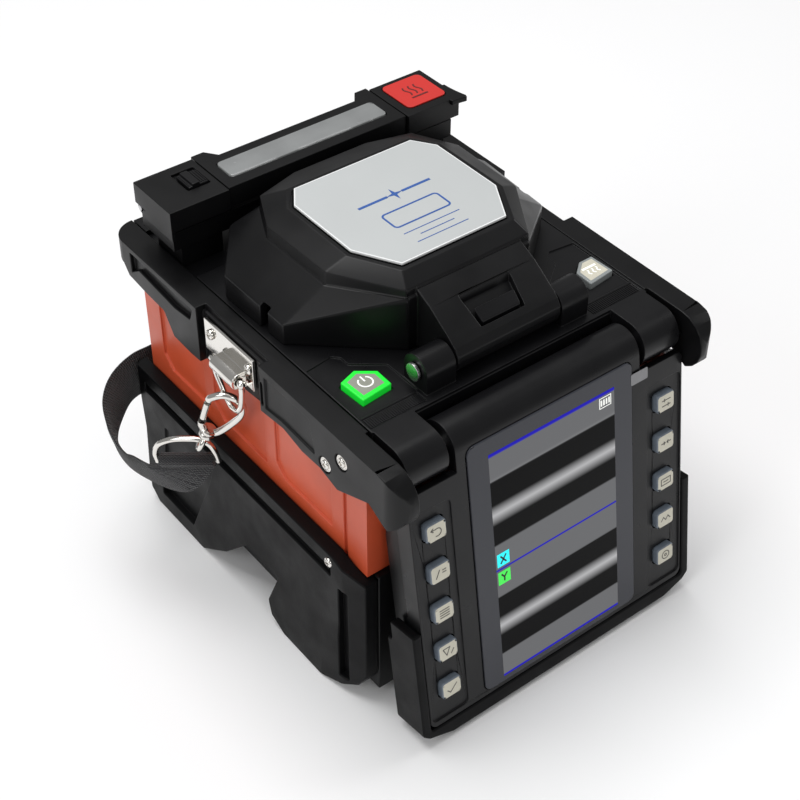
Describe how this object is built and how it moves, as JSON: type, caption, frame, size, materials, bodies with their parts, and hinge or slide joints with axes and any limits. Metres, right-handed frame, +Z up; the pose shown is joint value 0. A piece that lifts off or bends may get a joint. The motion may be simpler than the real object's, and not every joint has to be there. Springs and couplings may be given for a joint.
{
  "type": "fiber fusion splicer",
  "caption": "Benchtop fiber fusion splicer with tilting display, hinged wind hood, lidded tube heater, orange core, side bumpers and a carry strap.",
  "frame": {"origin": "on the floor below the middle of the body, measured without the strap", "axes": "+Z up, +Y to the rear (heater side), -Y towards the user (display side), +X to the right"},
  "size_m": [0.1886, 0.1812, 0.1485],
  "materials": {
    "black_plastic": "satin moulded black",
    "satin_black": "fine satin black",
    "orange_shell": "satin orange-red",
    "black_rubber": "soft matt",
    "label_silver": "printed silver",
    "key_beige": "satin beige",
    "power_key_lit": "backlit cap",
    "bezel_glass": "dark cover glass",
    "screen": "lit screen",
    "heater_window": "smoky clear",
    "red_badge": "printed red",
    "chromed": "polished",
    "steel": "turned",
    "aluminium": "machined",
    "circuit_board": "coated board",
    "battery_case": "moulded",
    "webbing": "woven black"
  },
  "bodies": {
    "chassis": {"base_tray": "black_plastic", "bumper_left": "black_rubber", "bumper_right": "black_rubber", "core_shell": "orange_shell", "side_rail_left": "black_plastic", "side_rail_right": "black_plastic", "top_deck": "satin_black", "rear_cover": "black_plastic", "main_board": "circuit_board", "splice_stage": "aluminium", "electrode_front": "steel", "electrode_rear": "steel", "lens_left": "black_plastic", "lens_right": "black_plastic", "heater_base": "black_plastic", "heater_trough": "aluminium", "heater_pin": "steel", "hood_hinge_pin": "steel", "strap_bracket_left": "chromed", "strap_bracket_right": "chromed", "snap_hook_left": "chromed", "snap_hook_right": "chromed", "buckle_ring_left": "chromed", "buckle_ring_right": "chromed", "strap_webbing": "webbing"},
    "display": {"display_front": "satin_black", "display_back": "black_plastic", "display_glass": "bezel_glass", "display_panel": "screen", "display_guard": "black_rubber", "display_shaft": "steel"},
    "hood": {"wind_hood": "black_plastic", "hood_label": "label_silver", "hood_grip_bar": "satin_black"},
    "heater_lid": {"heater_lid": "black_plastic", "heater_window": "heater_window"},
    "heater_clamp_left": {"heater_clamp_left": "black_plastic"},
    "heater_clamp_right": {"heater_clamp_right": "black_plastic", "heater_badge": "red_badge"},
    "clamp_slider": {"clamp_slider": "satin_black"},
    "power_key": {"power_key": "power_key_lit"},
    "heat_key": {"heat_key": "key_beige"},
    "fiber_clamp_left": {"fiber_clamp_left": "satin_black"},
    "fiber_clamp_right": {"fiber_clamp_right": "satin_black"},
    "battery": {"battery_pack": "battery_case"},
    "battery_latch": {"battery_latch": "satin_black"},
    "strap_ring_left": {"strap_ring_left": "chromed"},
    "strap_ring_right": {"strap_ring_right": "chromed"},
    "hook_gate_left": {"hook_gate_left": "chromed"},
    "hook_gate_right": {"hook_gate_right": "chromed"},
    "key_left_1": {"key_left_1": "key_beige"},
    "key_left_2": {"key_left_2": "key_beige"},
    "key_left_3": {"key_left_3": "key_beige"},
    "key_left_4": {"key_left_4": "key_beige"},
    "key_left_5": {"key_left_5": "key_beige"},
    "key_right_1": {"key_right_1": "key_beige"},
    "key_right_2": {"key_right_2": "key_beige"},
    "key_right_3": {"key_right_3": "key_beige"},
    "key_right_4": {"key_right_4": "key_beige"},
    "key_right_5": {"key_right_5": "key_beige"}
  },
  "joints": [
    {"name": "display_tilt", "type": "hinge", "parent": "chassis", "child": "display", "pos_m": [0, -0.0625, 0.1115], "axis": [-1, 0, 0], "range_deg": [0, 110]},
    {"name": "hood_hinge", "type": "hinge", "parent": "chassis", "child": "hood", "pos_m": [0, -0.044, 0.126], "axis": [1, 0, 0], "range_deg": [0, 95]},
    {"name": "heater_lid_hinge", "type": "hinge", "parent": "chassis", "child": "heater_lid", "pos_m": [0, 0.0755, 0.133], "axis": [-1, 0, 0], "range_deg": [0, 90]},
    {"name": "heater_clamp_left_hinge", "type": "hinge", "parent": "chassis", "child": "heater_clamp_left", "pos_m": [-0.0495, 0.0755, 0.133], "axis": [-1, 0, 0], "range_deg": [0, 90]},
    {"name": "heater_clamp_right_hinge", "type": "hinge", "parent": "chassis", "child": "heater_clamp_right", "pos_m": [0.0495, 0.0755, 0.133], "axis": [-1, 0, 0], "range_deg": [0, 90]},
    {"name": "clamp_slider_slide", "type": "slide", "parent": "heater_clamp_left", "child": "clamp_slider", "axis": [0, 1, 0], "range_m": [0, 0.0022]},
    {"name": "power_key_press", "type": "slide", "parent": "chassis", "child": "power_key", "axis": [0, 0, -1], "range_m": [0, 0.0008], "stiffness_N_per_m": 600, "springref_m": -0.0008},
    {"name": "heat_key_press", "type": "slide", "parent": "chassis", "child": "heat_key", "axis": [0, 0, -1], "range_m": [0, 0.0008], "stiffness_N_per_m": 600, "springref_m": -0.0008},
    {"name": "fiber_clamp_left_hinge", "type": "hinge", "parent": "chassis", "child": "fiber_clamp_left", "pos_m": [-0.023, 0.018, 0.128], "axis": [-1, 0, 0], "range_deg": [0, 36]},
    {"name": "fiber_clamp_right_hinge", "type": "hinge", "parent": "chassis", "child": "fiber_clamp_right", "pos_m": [0.023, 0.018, 0.128], "axis": [-1, 0, 0], "range_deg": [0, 36]},
    {"name": "battery_slide", "type": "slide", "parent": "chassis", "child": "battery", "axis": [0, 1, 0], "range_m": [0, 0.112]},
    {"name": "battery_latch_slide", "type": "slide", "parent": "chassis", "child": "battery_latch", "axis": [1, 0, 0], "range_m": [0, 0.0028], "stiffness_N_per_m": 300, "springref_m": -0.002},
    {"name": "strap_ring_left_swing", "type": "hinge", "parent": "chassis", "child": "strap_ring_left", "pos_m": [-0.0694, 0.0113, 0.1065], "axis": [0, 1, 0], "range_deg": [-0.9, 1.5]},
    {"name": "strap_ring_right_swing", "type": "hinge", "parent": "chassis", "child": "strap_ring_right", "pos_m": [0.0694, 0.0113, 0.1065], "axis": [0, 1, 0], "range_deg": [-1.5, 0.9]},
    {"name": "hook_gate_left_hinge", "type": "hinge", "parent": "chassis", "child": "hook_gate_left", "pos_m": [-0.0758, 0.01926, 0.08384], "axis": [0.7158, 0.6879, 0.1199], "range_deg": [0, 22], "stiffness_Nm_per_rad": 0.01, "springref_deg": -14.32},
    {"name": "hook_gate_right_hinge", "type": "hinge", "parent": "chassis", "child": "hook_gate_right", "pos_m": [0.0758, 0.01926, 0.08384], "axis": [0.7158, -0.6879, -0.1199], "range_deg": [0, 22], "stiffness_Nm_per_rad": 0.01, "springref_deg": -14.32},
    {"name": "key_left_1_press", "type": "slide", "parent": "display", "child": "key_left_1", "axis": [0, 0.988, -0.1544], "range_m": [0, 0.0007], "stiffness_N_per_m": 500, "springref_m": -0.0008},
    {"name": "key_left_2_press", "type": "slide", "parent": "display", "child": "key_left_2", "axis": [0, 0.988, -0.1544], "range_m": [0, 0.0007], "stiffness_N_per_m": 500, "springref_m": -0.0008},
    {"name": "key_left_3_press", "type": "slide", "parent": "display", "child": "key_left_3", "axis": [0, 0.988, -0.1544], "range_m": [0, 0.0007], "stiffness_N_per_m": 500, "springref_m": -0.0008},
    {"name": "key_left_4_press", "type": "slide", "parent": "display", "child": "key_left_4", "axis": [0, 0.988, -0.1544], "range_m": [0, 0.0007], "stiffness_N_per_m": 500, "springref_m": -0.0008},
    {"name": "key_left_5_press", "type": "slide", "parent": "display", "child": "key_left_5", "axis": [0, 0.988, -0.1544], "range_m": [0, 0.0007], "stiffness_N_per_m": 500, "springref_m": -0.0008},
    {"name": "key_right_1_press", "type": "slide", "parent": "display", "child": "key_right_1", "axis": [0, 0.988, -0.1544], "range_m": [0, 0.0007], "stiffness_N_per_m": 500, "springref_m": -0.0008},
    {"name": "key_right_2_press", "type": "slide", "parent": "display", "child": "key_right_2", "axis": [0, 0.988, -0.1544], "range_m": [0, 0.0007], "stiffness_N_per_m": 500, "springref_m": -0.0008},
    {"name": "key_right_3_press", "type": "slide", "parent": "display", "child": "key_right_3", "axis": [0, 0.988, -0.1544], "range_m": [0, 0.0007], "stiffness_N_per_m": 500, "springref_m": -0.0008},
    {"name": "key_right_4_press", "type": "slide", "parent": "display", "child": "key_right_4", "axis": [0, 0.988, -0.1544], "range_m": [0, 0.0007], "stiffness_N_per_m": 500, "springref_m": -0.0008},
    {"name": "key_right_5_press", "type": "slide", "parent": "display", "child": "key_right_5", "axis": [0, 0.988, -0.1544], "range_m": [0, 0.0007], "stiffness_N_per_m": 500, "springref_m": -0.0008}
  ]
}
